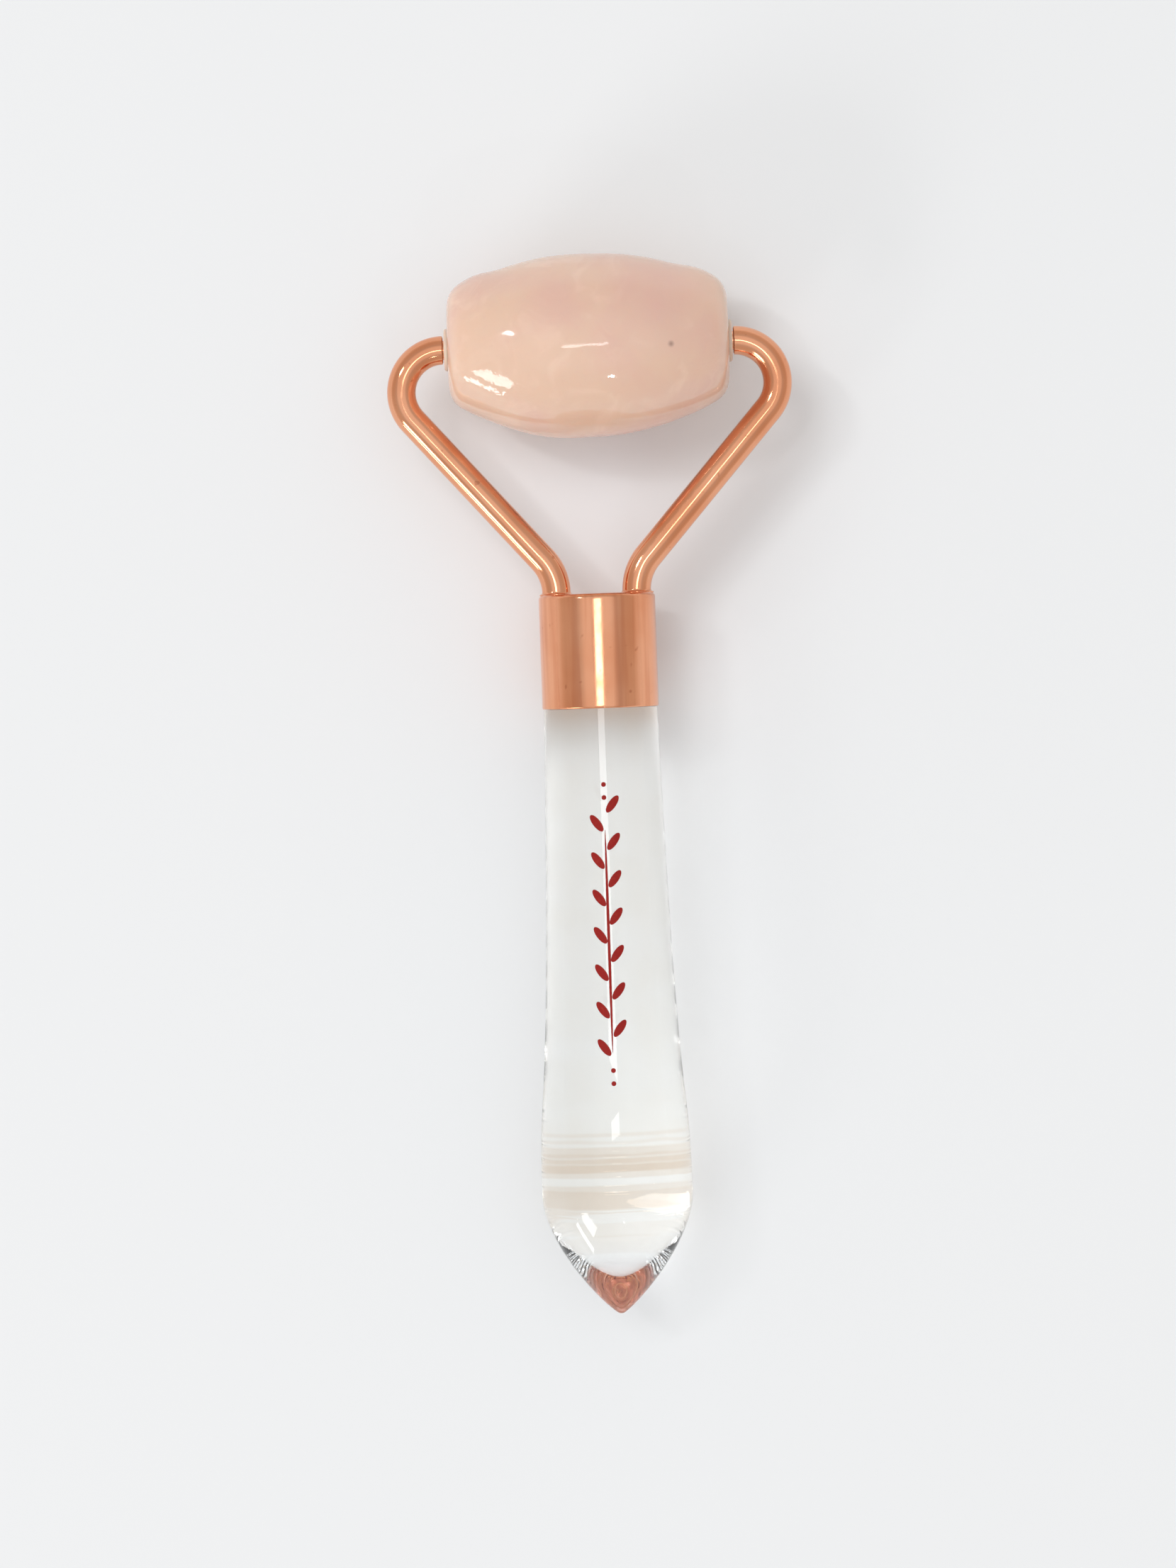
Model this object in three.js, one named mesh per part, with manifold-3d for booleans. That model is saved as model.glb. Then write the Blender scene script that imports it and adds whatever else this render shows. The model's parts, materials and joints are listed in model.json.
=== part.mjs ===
// A facial massage roller: a barrel of rose quartz that spins in a wire fork, on a clear pointed handle.
// It lies on its side: the stone's crown and the handle's bulge rest on z = 0.
// The roller is modelled straight, with the stone's centre at the origin, the axle along X and the
// handle along -Y. One group then pitches it onto its two points of rest.
import * as THREE from "three";
import { mergeVertices } from "three/addons/utils/BufferGeometryUtils.js";
import Module from "manifold-3d";

const wasm = await Module();
wasm.setup();

// ---- Sizes, in millimetres ----
// Stone: a crowned barrel with flat ends and a short straight band round its middle
const STONE_LENGTH = 29.3;
const STONE_DIAMETER = 19.5;
const STONE_END_DIAMETER = 10.8; // where the crown would meet the end, before the edge is rounded
const STONE_EDGE_ROUND = 3.0;
const STONE_BAND = 2.8;

// Bushings: a flanged nylon sleeve bonded into each end of the stone
const PIN_DIAMETER = 2.0;
const PIN_LENGTH = 5.5;
const BUSHING_WALL = 0.65;
const BUSHING_LENGTH = 6.5;
const FLANGE_DIAMETER = 4.4;
const FLANGE_THICKNESS = 0.4;
const FLANGE_CHAMFER = 0.25;

// Fork: two bent wires, each turned down to a pin at the stone and to a tenon at the ferrule
const WIRE_DIAMETER = 3.0;
const STONE_TO_FERRULE = 25.9; // from the axle to the ferrule's top
const UPPER_BEND_RADIUS = 4.4;
const LOWER_BEND_RADIUS = 5.4;
const LEG_INSET = 0.4; // from the ferrule's side in to a leg's side
const WIRE_STRAIGHT = 0.1; // left straight between each shoulder and its bend
const TENON_DIAMETER = 2.0;

// Ferrule: a drawn cup over the top of the handle, with a plug brazed inside it
const FERRULE_LENGTH = 12.0;
const FERRULE_DIAMETER = 12.2;
const FERRULE_WALL = 0.55;
const FERRULE_TOP = 0.9;
const FERRULE_EDGE_ROUND = 0.5;
const FERRULE_RIM_ROUND = 0.2;
const LAND_FALL = 0.06; // the top falls this much from its flat middle to its edge
const CORE_THICKNESS = 3.0;

// Stud that draws the handle up against the plug
const STUD_DIAMETER = 3.0;
const STUD_REACH = 5.0; // into the handle
const STUD_CHAMFER = 0.35;

// Handle: one clear piece, a neck that swells to a bulge and ends in a blunt point
const GRIP_LENGTH = 63.5; // from the ferrule's rim to the tip
const NECK_STEP = 0.15; // the neck stands this far inside the ferrule's side
const BULGE_DIAMETER = 15.8;
const BULGE_TO_TIP = 12.6;
const TIP_RADIUS = 0.75;
const NOSE_ANGLE = 53; // degrees, between the handle's axis and the flank beside the tip

// Clearances
const RUNNING_CLEARANCE = 0.08; // around a pin in its bushing
const END_FLOAT = 0.12; // between a wire's shoulder and the flange
const BOND_GAP = 0.05; // glue or braze line
const LEG_CLEARANCE = 0.1; // between a leg and the flat middle of the ferrule's top
const STUD_CLEARANCE = 0.1; // around and beyond the stud in the handle
const TENON_RECESS = 0.3; // a tenon stops this far inside the plug

// Fineness
const ROUND_SIDES = 48;
const BORE_SIDES = 32;
const WIRE_SIDES = 16;
const WIRE_STEPS = 44;

// ---- Derived places ----
const WIRE_RADIUS = WIRE_DIAMETER / 2;
const STONE_RADIUS = STONE_DIAMETER / 2;
const SHOULDER_X = STONE_LENGTH / 2 + FLANGE_THICKNESS + END_FLOAT;
const SLEEVE_RADIUS = PIN_DIAMETER / 2 + RUNNING_CLEARANCE + BUSHING_WALL;
const LEG_OFFSET = FERRULE_DIAMETER / 2 - LEG_INSET - WIRE_RADIUS;
const FERRULE_Y = -STONE_TO_FERRULE;
const RIM_Y = FERRULE_Y - FERRULE_LENGTH;
const CUP_RADIUS = FERRULE_DIAMETER / 2 - FERRULE_WALL;
const CORE_TOP_Y = FERRULE_Y - FERRULE_TOP - BOND_GAP;
const CORE_BOTTOM_Y = CORE_TOP_Y - CORE_THICKNESS;
const LAND_RADIUS = LEG_OFFSET - WIRE_RADIUS - LEG_CLEARANCE;
const LEG_END_Y = FERRULE_Y + BOND_GAP;
const TIP_Y = RIM_Y - GRIP_LENGTH;
const BULGE_Y = TIP_Y + BULGE_TO_TIP;

// ---- Geometry helpers ----
const point = (x, y) => new THREE.Vector2(x, y);

// Points on a circle, from one angle to another in radians.
function arc(x, y, radius, from, to, steps) {
  return Array.from({ length: steps + 1 }, (_, i) => {
    const angle = from + ((to - from) * i) / steps;
    return point(x + radius * Math.cos(angle), y + radius * Math.sin(angle));
  });
}

// A solid of revolution about Y. The profile runs from the axis, or from a bore, down the inside and
// back up the outside, or the other way: it is turned round where that would face inwards.
function revolve(profile, sides) {
  const ring = [...profile];
  if (ring[0].x > 0) ring.push(ring[0].clone());
  const facesOut = THREE.ShapeUtils.area(ring) > 0;
  return new THREE.LatheGeometry(facesOut ? ring : ring.reverse(), sides);
}

// The same solid turned so that its axis lies along X.
const revolveAlongX = (profile, sides) => revolve(profile, sides).rotateZ(-Math.PI / 2);

function toSolid(geometry) {
  const bare = geometry.clone();
  bare.deleteAttribute("normal");
  bare.deleteAttribute("uv");
  const merged = mergeVertices(bare, 1e-4);
  return new wasm.Manifold(
    new wasm.Mesh({
      numProp: 3,
      vertProperties: merged.attributes.position.array,
      triVerts: new Uint32Array(merged.index.array),
    }),
  );
}

function toGeometry(solid) {
  const mesh = solid.getMesh();
  const geometry = new THREE.BufferGeometry();
  geometry.setAttribute("position", new THREE.BufferAttribute(mesh.vertProperties, 3));
  geometry.setIndex(new THREE.BufferAttribute(mesh.triVerts, 1));
  geometry.computeVertexNormals();
  return geometry;
}

// A round rod along Y from a low to a high end, with both edges chamfered.
function rod(diameter, low, high, chamfer, sides) {
  const radius = diameter / 2;
  return revolve(
    [
      point(0, low),
      point(radius - chamfer, low),
      point(radius, low + chamfer),
      point(radius, high - chamfer),
      point(radius - chamfer, high),
      point(0, high),
    ],
    sides,
  );
}

// ---- Stone ----
function makeStone() {
  const half = STONE_LENGTH / 2;
  const drop = STONE_RADIUS - STONE_END_DIAMETER / 2;
  const crownX = STONE_BAND / 2; // the crown falls away from the edge of the band
  const fall = half - crownX;
  const crown = (fall * fall + drop * drop) / (2 * drop);
  const crownY = STONE_RADIUS - crown; // the crown's centre, beyond the axis
  const roundX = half - STONE_EDGE_ROUND;
  const roundY = crownY + Math.sqrt((crown - STONE_EDGE_ROUND) ** 2 - (roundX - crownX) ** 2);
  const edgeAngle = Math.atan2(roundY - crownY, roundX - crownX);
  const boreRadius = SLEEVE_RADIUS + BOND_GAP;
  const boreDepth = BUSHING_LENGTH + BOND_GAP;

  // One half, from the bottom of its blind bore out to the edge of the band. Along is the axle.
  const side = [
    [half - boreDepth, 0],
    [half - boreDepth, boreRadius],
    [half, boreRadius],
    ...arc(roundX, roundY, STONE_EDGE_ROUND, 0, edgeAngle, 5).map((p) => [p.x, p.y]),
    ...arc(crownX, crownY, crown, edgeAngle, Math.PI / 2, 9).slice(1).map((p) => [p.x, p.y]),
  ];
  const right = side.map(([along, out]) => point(out, along));
  const left = side.reverse().map(([along, out]) => point(out, -along));
  return revolveAlongX([...right, ...left], ROUND_SIDES);
}

// ---- Bushing, for the +X end ----
function makeBushing() {
  const end = STONE_LENGTH / 2;
  const bore = PIN_DIAMETER / 2 + RUNNING_CLEARANCE;
  const flange = FLANGE_DIAMETER / 2;
  const face = end + FLANGE_THICKNESS;
  return revolveAlongX(
    [
      point(bore, end - BUSHING_LENGTH),
      point(SLEEVE_RADIUS, end - BUSHING_LENGTH),
      point(SLEEVE_RADIUS, end + BOND_GAP),
      point(flange, end + BOND_GAP),
      point(flange, face - FLANGE_CHAMFER),
      point(flange - FLANGE_CHAMFER, face),
      point(bore, face),
    ],
    BORE_SIDES,
  );
}

// ---- Fork ----
class Bend extends THREE.Curve {
  constructor(x, y, radius, from, to) {
    super();
    Object.assign(this, { x, y, radius, from, to });
  }

  getPoint(t, target = new THREE.Vector3()) {
    const angle = this.from + (this.to - this.from) * t;
    return target.set(
      this.x + this.radius * Math.cos(angle),
      this.y + this.radius * Math.sin(angle),
      0,
    );
  }
}

// The +X wire's centre line: out of the stone, over the upper bend, straight down and in along the
// line that touches both bends, round the lower bend and down onto the ferrule.
function wirePath() {
  const upperX = SHOULDER_X + WIRE_STRAIGHT;
  const upperY = -UPPER_BEND_RADIUS;
  const lowerX = LEG_OFFSET + LOWER_BEND_RADIUS;
  const lowerY = LEG_END_Y + WIRE_STRAIGHT;
  const span = Math.hypot(lowerX - upperX, lowerY - upperY);
  const between = Math.atan2(lowerY - upperY, lowerX - upperX);
  const heading = between - Math.asin((UPPER_BEND_RADIUS + LOWER_BEND_RADIUS) / span);

  const upper = new Bend(upperX, upperY, UPPER_BEND_RADIUS, Math.PI / 2, heading + Math.PI / 2);
  const lower = new Bend(lowerX, lowerY, LOWER_BEND_RADIUS, heading - Math.PI / 2, -Math.PI);
  const path = new THREE.CurvePath();
  path.add(new THREE.LineCurve3(new THREE.Vector3(SHOULDER_X, 0, 0), upper.getPoint(0)));
  path.add(upper);
  path.add(new THREE.LineCurve3(upper.getPoint(1), lower.getPoint(0)));
  path.add(lower);
  path.add(new THREE.LineCurve3(lower.getPoint(1), new THREE.Vector3(LEG_OFFSET, LEG_END_Y, 0)));
  return path;
}

function makeArm() {
  const section = new THREE.Shape().absarc(0, 0, WIRE_RADIUS, 0, 2 * Math.PI);
  const wire = new THREE.ExtrudeGeometry(section, {
    steps: WIRE_STEPS,
    curveSegments: WIRE_SIDES / 2,
    extrudePath: wirePath(),
  });
  const rooted = WIRE_RADIUS / 2; // how far a turned end runs on inside the wire
  const chamfer = PIN_DIAMETER / 8;
  const pin = rod(PIN_DIAMETER, SHOULDER_X - PIN_LENGTH, SHOULDER_X + rooted, chamfer, BORE_SIDES);
  const tenonEnd = CORE_BOTTOM_Y + TENON_RECESS;
  const tenon = rod(TENON_DIAMETER, tenonEnd, LEG_END_Y + rooted, chamfer, BORE_SIDES);
  return toGeometry(
    toSolid(wire)
      .add(toSolid(pin.rotateZ(-Math.PI / 2)))
      .add(toSolid(tenon.translate(LEG_OFFSET, 0, 0))),
  );
}

// ---- Ferrule and its plug ----
// Cuts the two tenon holes through a solid that lies between two heights.
function withTenonHoles(geometry, low, high) {
  const diameter = TENON_DIAMETER + 2 * BOND_GAP;
  const drill = () => rod(diameter, low - 1, high + 1, 0.1, BORE_SIDES);
  return toGeometry(
    toSolid(geometry)
      .subtract(toSolid(drill().translate(LEG_OFFSET, 0, 0)))
      .subtract(toSolid(drill().translate(-LEG_OFFSET, 0, 0))),
  );
}

function makeFerrule() {
  const outer = FERRULE_DIAMETER / 2;
  const shoulderY = FERRULE_Y - LAND_FALL - FERRULE_EDGE_ROUND;
  const cup = revolve(
    [
      point(0, FERRULE_Y - FERRULE_TOP),
      point(CUP_RADIUS, FERRULE_Y - FERRULE_TOP),
      point(CUP_RADIUS, RIM_Y),
      point(outer - FERRULE_RIM_ROUND, RIM_Y),
      ...arc(outer - FERRULE_RIM_ROUND, RIM_Y + FERRULE_RIM_ROUND, FERRULE_RIM_ROUND,
        -Math.PI / 4, 0, 1),
      ...arc(outer - FERRULE_EDGE_ROUND, shoulderY, FERRULE_EDGE_ROUND, 0, Math.PI / 2, 4),
      point(LAND_RADIUS, FERRULE_Y),
      point(0, FERRULE_Y),
    ],
    ROUND_SIDES,
  );
  return withTenonHoles(cup, FERRULE_Y - FERRULE_TOP, FERRULE_Y);
}

function makeCore() {
  const tapped = STUD_DIAMETER / 2 + BOND_GAP;
  const disc = revolve(
    [
      point(tapped, CORE_BOTTOM_Y),
      point(CUP_RADIUS - BOND_GAP, CORE_BOTTOM_Y),
      point(CUP_RADIUS - BOND_GAP, CORE_TOP_Y),
      point(tapped, CORE_TOP_Y),
    ],
    ROUND_SIDES,
  );
  return withTenonHoles(disc, CORE_BOTTOM_Y, CORE_TOP_Y);
}

const makeStud = () =>
  rod(STUD_DIAMETER, CORE_BOTTOM_Y - STUD_REACH, CORE_TOP_Y - BOND_GAP, STUD_CHAMFER, BORE_SIDES);

// ---- Handle ----
// A cubic curve that leaves a towards b by a share of the way along the axis, and comes in likewise.
function flowing(from, leaveSlope, leaveShare, to, arriveSlope, arriveShare, steps) {
  const rise = to.y - from.y;
  const leave = leaveShare * rise;
  const arrive = arriveShare * rise;
  return new THREE.CubicBezierCurve(
    from,
    point(from.x + leaveSlope * leave, from.y + leave),
    point(to.x - arriveSlope * arrive, to.y - arrive),
    to,
  ).getPoints(steps);
}

function makeHandle() {
  const spigotTop = CORE_BOTTOM_Y - BOND_GAP;
  const spigotRadius = CUP_RADIUS - BOND_GAP;
  const shoulderY = RIM_Y - BOND_GAP;
  const holeRadius = STUD_DIAMETER / 2 + STUD_CLEARANCE;
  const holeBottom = CORE_BOTTOM_Y - STUD_REACH - STUD_CLEARANCE;
  const flank = THREE.MathUtils.degToRad(NOSE_ANGLE);
  const tip = arc(0, TIP_Y + TIP_RADIUS, TIP_RADIUS, -Math.PI / 2, -flank, 3);
  const bulge = point(BULGE_DIAMETER / 2, BULGE_Y);
  const neck = point(FERRULE_DIAMETER / 2 - NECK_STEP, shoulderY);
  const nose = flowing(tip.at(-1), Math.tan(flank), 0.155, bulge, 0, 0.355, 12);
  const taper = flowing(bulge, 0, 0.28, neck, -0.019, 0.93, 14);
  tip[0].x = 0;
  return revolve(
    [
      ...tip,
      ...nose.slice(1),
      ...taper.slice(1),
      point(spigotRadius, shoulderY),
      point(spigotRadius, spigotTop),
      point(holeRadius, spigotTop),
      point(holeRadius, holeBottom),
      point(0, holeBottom),
    ],
    ROUND_SIDES,
  );
}

// ---- Materials ----
const finish = (color, roughness, metalness, more = {}) =>
  new THREE.MeshStandardMaterial({ color, roughness, metalness, ...more });

const quartz = finish(0xe4c2ae, 0.12, 0);
const copper = finish(0xd08a66, 0.12, 1);
const brass = finish(0xc08a5a, 0.3, 1);
const nylon = finish(0xf2e6dc, 0.4, 0);
const clear = finish(0xe9e8e4, 0.04, 0, { transparent: true, opacity: 0.4 });

// ---- Assembly ----
const roller = new THREE.Group();

function place(name, geometry, material, otherSide = false) {
  const mesh = new THREE.Mesh(geometry, material);
  mesh.name = name;
  if (otherSide) mesh.rotation.y = Math.PI; // half a turn about the handle's axis
  roller.add(mesh);
}

place("roller_stone", makeStone(), quartz);
place("right_bushing", makeBushing(), nylon);
place("left_bushing", makeBushing(), nylon, true);
place("right_arm", makeArm(), copper);
place("left_arm", makeArm(), copper, true);
place("ferrule", makeFerrule(), copper);
place("fork_core", makeCore(), brass);
place("handle_stud", makeStud(), brass);
place("handle", makeHandle(), clear);

// The pitch at which the stone and the bulge both touch the surface, and the origin under the middle.
const restTilt =
  Math.asin(STONE_RADIUS / Math.hypot(BULGE_Y, BULGE_DIAMETER / 2)) -
  Math.atan2(BULGE_DIAMETER / 2, -BULGE_Y);
const tipReach = -(TIP_Y + TIP_RADIUS) * Math.cos(restTilt) + TIP_RADIUS;
roller.rotation.x = restTilt;
roller.position.set(0, (tipReach - STONE_RADIUS) / 2, STONE_RADIUS);

const part = new THREE.Group();
part.add(roller);

export default part;
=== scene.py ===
"""A facial massage roller: the visible pieces and finishes around its packed parts, with a plain studio.

Every new piece is modelled in the roller's own straight frame, in metres: the stone's centre at the
origin, the axle along X and the handle along -Y. It is then laid down where the packed part lies.
"""

import json
import math

import bpy
from bpy.props import FloatProperty, FloatVectorProperty, IntProperty, PointerProperty
from mathutils import Matrix, Vector


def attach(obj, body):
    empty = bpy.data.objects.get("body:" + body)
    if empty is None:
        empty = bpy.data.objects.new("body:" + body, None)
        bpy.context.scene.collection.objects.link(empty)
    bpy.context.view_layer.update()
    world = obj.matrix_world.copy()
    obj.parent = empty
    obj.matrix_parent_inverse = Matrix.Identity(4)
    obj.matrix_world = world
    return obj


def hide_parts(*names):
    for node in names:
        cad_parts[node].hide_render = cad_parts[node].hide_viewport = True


bl_info = {
    "name": "Facial Massage Roller",
    "version": (1, 0, 0),
    "blender": (4, 5, 0),
    "location": "3D View > Sidebar > Roller",
    "description": "Makes the stone, fork, ferrule and clear handle of a facial massage roller",
    "category": "Add Mesh",
}

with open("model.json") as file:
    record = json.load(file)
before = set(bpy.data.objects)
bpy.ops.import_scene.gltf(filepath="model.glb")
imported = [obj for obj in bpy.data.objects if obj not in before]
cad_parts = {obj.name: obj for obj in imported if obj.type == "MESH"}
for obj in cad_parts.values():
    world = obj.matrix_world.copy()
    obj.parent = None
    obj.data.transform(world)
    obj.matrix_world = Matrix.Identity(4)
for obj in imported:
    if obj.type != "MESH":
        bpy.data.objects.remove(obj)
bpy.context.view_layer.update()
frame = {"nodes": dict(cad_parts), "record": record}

MM = 0.001
WELD = 0.001 * MM
BOND = 0.05 * MM  # a line of glue, of braze or of a press fit
RUNNING_CLEARANCE = 0.08 * MM  # round a pin in its sleeve
QUARTER_TURN = math.pi / 2
HALF_TURN = math.pi
FULL_TURN = 2 * math.pi
# Length that keeps its neighbour's shading straight beside a bend or a rounded edge
HELD = 0.1 * MM
SMOOTH_ANGLE = math.radians(32)
SMALL_SIDES = 64  # steps round a small turned piece

# ---- The straight frame, and the sizes that the packed parts give ----
AXLE = Vector(frame["record"]["behaviour"]["joints"][0]["pos_m"])
_, FORWARD, RISE = frame["record"]["mounts"][0]["axis"]
LYING = Matrix.Translation(AXLE) @ Matrix.Rotation(math.atan2(RISE, FORWARD), 4, "X")


def straight_box(node):
    """Lowest and highest corner of a packed part, in the straight frame."""
    upright = LYING.inverted()
    places = [upright @ vertex.co for vertex in frame["nodes"][node].data.vertices]
    return tuple(Vector(pick(p[i] for p in places) for i in range(3)) for pick in (min, max))


STONE_HALF, STONE_RADIUS, _ = straight_box("roller_stone")[1]
SLEEVE_LOW, SLEEVE_HIGH = straight_box("right_bushing")
ARM_LOW, ARM_HIGH = straight_box("right_arm")
FERRULE_LOW, FERRULE_HIGH = straight_box("ferrule")
CORE_LOW, CORE_HIGH = straight_box("fork_core")
STUD_LOW, STUD_HIGH = straight_box("handle_stud")
HANDLE_LOW, HANDLE_HIGH = straight_box("handle")


def colour(red, green, blue):
    """A linear colour from three display values of 0 to 255."""
    def linear(value):
        share = value / 255
        return share / 12.92 if share <= 0.04045 else ((share + 0.055) / 1.055) ** 2.4

    return linear(red), linear(green), linear(blue), 1.0


# ---- Settings ----
def length(name, description, millimetres):
    """A length setting, with its default in millimetres."""
    return FloatProperty(name=name, description=description, default=millimetres * MM, min=0,
                         precision=5, unit="LENGTH")


def tint(name, description, red, green, blue):
    """A colour setting, with its default as display values of 0 to 255."""
    return FloatVectorProperty(name=name, description=description, size=4, min=0, max=1,
                               default=colour(red, green, blue), subtype="COLOR")


def count(name, description, value):
    """A whole number setting for what has at least three."""
    return IntProperty(name=name, description=description, default=value, min=3)


class StoneSettings(bpy.types.PropertyGroup):
    """The stone and the sleeves in its ends"""

    band: length("Band", "Width of the straight band round the stone's middle", 2.8)
    end_radius: length("End Radius", "Radius where the crown would meet the flat end", 5.4)
    edge_round: length("Edge Round", "Radius of the rounded edge at each end", 3.0)
    shoulder: length("Shoulder", "How much fuller one side of the crown is towards its ends", 0.6)
    swell_depth: length("Swell Depth", "Depth of the broad unevenness left by hand grinding", 0.34)
    swell_size: length("Swell Size", "Breadth of that broad unevenness", 11.0)
    ripple_depth: length("Ripple Depth", "Depth of the small unevenness left by tumbling", 0.05)
    ripple_size: length("Ripple Size", "Breadth of that small unevenness", 2.6)
    sleeve_wall: length("Sleeve Wall", "Wall of the nylon sleeve", 0.65)
    flange: length("Flange", "Thickness of the sleeve's flange", 0.4)
    flange_round: length("Flange Round", "Radius of the flange's outer edge", 0.2)
    body: tint("Body", "Main colour of the quartz", 230, 198, 176)
    milk: tint("Milk", "Colour of the paler clouds", 238, 208, 188)
    rose: tint("Rose", "Colour of the pinker clouds", 226, 188, 172)
    mauve: tint("Mauve", "Colour of the deep pink zones", 222, 176, 172)
    nylon: tint("Nylon", "Colour of the sleeves", 230, 206, 188)
    sides: count("Sides", "Steps round the stone", 192)


class ForkSettings(bpy.types.PropertyGroup):
    """The two wires, the ferrule and the plug inside it"""

    upper_bend: length("Upper Bend", "Radius of the bend beside the stone", 4.4)
    lower_bend: length("Lower Bend", "Radius of the bend above the ferrule", 5.4)
    straight: length("Straight", "Straight wire between a shoulder and its bend", 0.1)
    leg_inset: length("Leg Inset", "From the ferrule's side in to a leg's side", 0.4)
    pin_radius: length("Pin Radius", "Radius of the wire's turned ends", 1.0)
    pin_length: length("Pin Length", "Length of the pin that holds the stone", 5.5)
    shoulder_round: length("Shoulder Round", "Bevel of the wire's shoulders", 0.25)
    braze: length("Braze", "Size of the braze fillet round each leg's foot", 0.28)
    wall: length("Wall", "Wall of the ferrule's side", 0.55)
    top: length("Top", "Thickness of the ferrule's top", 0.9)
    top_fall: length("Top Fall", "Fall of the ferrule's top from its middle to its edge", 0.06)
    land_radius: length("Land Radius", "Radius of the flat middle of the ferrule's top", 2.6)
    edge_round: length("Edge Round", "Radius of the ferrule's top edge", 0.5)
    rim_round: length("Rim Round", "Radius of the ferrule's lower rim", 0.2)
    copper: tint("Copper", "Colour of the polished plating", 242, 173, 135)
    deep_copper: tint("Deep Copper", "Colour where the plating is thicker", 234, 158, 118)
    inner_copper: tint("Inner Copper", "Colour of the flashed brass inside", 208, 124, 100)
    wire_sides: count("Wire Sides", "Steps round a wire", 48)
    ferrule_sides: count("Ferrule Sides", "Steps round the ferrule", 160)


class HandleSettings(bpy.types.PropertyGroup):
    """The clear handle"""

    bulge_to_tip: length("Bulge To Tip", "From the widest place to the tip", 12.6)
    tip_round: length("Tip Round", "Radius of the blunt tip", 0.75)
    neck_step: length("Neck Step", "How far the neck stands inside the ferrule's side", 0.15)
    stud_gap: length("Stud Gap", "Room round the stud", 0.1)
    hole_end_gap: length("Hole End Gap", "Room beyond the stud's end", 0.1)
    nose_angle: FloatProperty(name="Nose Angle", default=math.radians(53), subtype="ANGLE",
                              description="Between the handle's axis and the flank beside the tip")
    clear: tint("Clear", "Colour of the clear acrylic", 255, 255, 253)
    warm: tint("Warm", "Faint warm tint of the acrylic", 253, 252, 248)
    nose: tint("Nose", "Colour of the acrylic towards its tip", 250, 253, 255)
    # Also the colour of the painted copper glow just below the ferrule
    smoke_and_ferrule_glow: tint("Smoke", "Tint of the faint rings near the nose", 240, 229, 216)
    sides: count("Sides", "Steps round the handle", 192)


class PrintSettings(bpy.types.PropertyGroup):
    """The printed sprig on the handle"""

    start: length("Start", "From the axle to the near end of the sprig", 45.8)
    extent: length("Extent", "Length of the sprig", 31.0)
    leaf_length: length("Leaf Length", "Length of one leaf", 2.1)
    leaf_width: length("Leaf Width", "Width of one leaf", 0.82)
    stem_width: length("Stem Width", "Width of the stem", 0.3)
    spread: FloatProperty(name="Spread", default=math.radians(36), subtype="ANGLE",
                          description="Angle between a leaf and the stem")
    lift: length("Lift", "Gap between the ink and the acrylic", 0.01)
    thickness: length("Thickness", "Thickness of the ink", 0.03)
    ink: tint("Ink", "Colour of the ink", 148, 20, 12)
    worn_ink: tint("Worn Ink", "Colour where the ink is thinner", 164, 42, 28)
    pairs: count("Pairs", "Pairs of leaves", 7)


class StageSettings(bpy.types.PropertyGroup):
    """The floor, the lights and the camera"""

    floor_size: length("Floor Size", "Side of the floor", 16000)
    floor: tint("Floor", "Colour of the floor", 237, 240, 243)
    overhead: FloatProperty(name="Overhead", description="Brightness of the room overhead", default=0.88)
    walls: FloatProperty(name="Walls", description="Brightness of the room's walls", default=0.6)
    horizon: FloatProperty(name="Horizon", default=0.84,
                           description="Brightness of the room at floor level")
    wall_colour: tint("Wall Colour", "Colour of the room's walls", 255, 245, 234)
    floor_light: tint("Floor Light", "Colour of the room at floor level and overhead", 253, 254, 255)
    key_power: FloatProperty(name="Key Power", description="Power of the large soft light", default=132,
                             unit="POWER")
    strip_power: FloatProperty(name="Strip Power", description="Power of the strip light overhead",
                               default=0.165, unit="POWER")
    pane_power: FloatProperty(name="Pane Power", description="Power of the higher window pane", default=3.6,
                              unit="POWER")
    lamp_power: FloatProperty(name="Lamp Power", description="Power of the small lamp at the left",
                              default=2.4, unit="POWER")
    camera_height: length("Camera Height", "From the axle up to the camera", 666.7)
    camera_aside: length("Camera Aside", "From the roller's middle to the camera, towards -X", 1.6)
    camera_roll: FloatProperty(name="Camera Roll", default=math.radians(-2), subtype="ANGLE",
                               description="Turn of the camera about its own axis")
    lens: FloatProperty(name="Lens", default=97.65, unit="CAMERA",
                        description="Focal length, on a sensor 24 mm along its longer side")


# ---- Outlines, as (radius, along) points ----
def arc(radius, along, reach, start, end, steps):
    """Points on a circle, from one angle to another. Zero degrees points away from the axis."""
    turns = [start + (end - start) * step / steps for step in range(steps + 1)]
    return [(radius + reach * math.cos(turn), along + reach * math.sin(turn)) for turn in turns]


def flowing(start, leaving, leaving_share, end, arriving, arriving_share, steps):
    """A cubic curve that leaves and arrives at two slopes, each held for a share of the way."""
    rise = end[1] - start[1]
    first, last = leaving_share * rise, arriving_share * rise
    guides = (start, (start[0] + leaving * first, start[1] + first),
              (end[0] - arriving * last, end[1] - last), end)

    def at(t):
        weights = ((1 - t) ** 3, 3 * t * (1 - t) ** 2, 3 * t * t * (1 - t), t ** 3)
        return tuple(sum(w * g[i] for w, g in zip(weights, guides)) for i in (0, 1))

    return [at(step / steps) for step in range(steps + 1)]


# ---- Modelling ----
def only(*pieces):
    """Leaves edit mode and selects these objects alone. The last is active."""
    if bpy.context.mode != "OBJECT":
        bpy.ops.object.mode_set(mode="OBJECT")
    bpy.ops.object.select_all(action="DESELECT")
    for piece in pieces:
        piece.select_set(True)
        bpy.context.view_layer.objects.active = piece


def begin(name):
    """Names the primitive that was just added and opens it for editing."""
    piece = bpy.context.object
    piece.name = piece.data.name = name
    bpy.ops.object.mode_set(mode="EDIT")
    return piece


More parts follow.
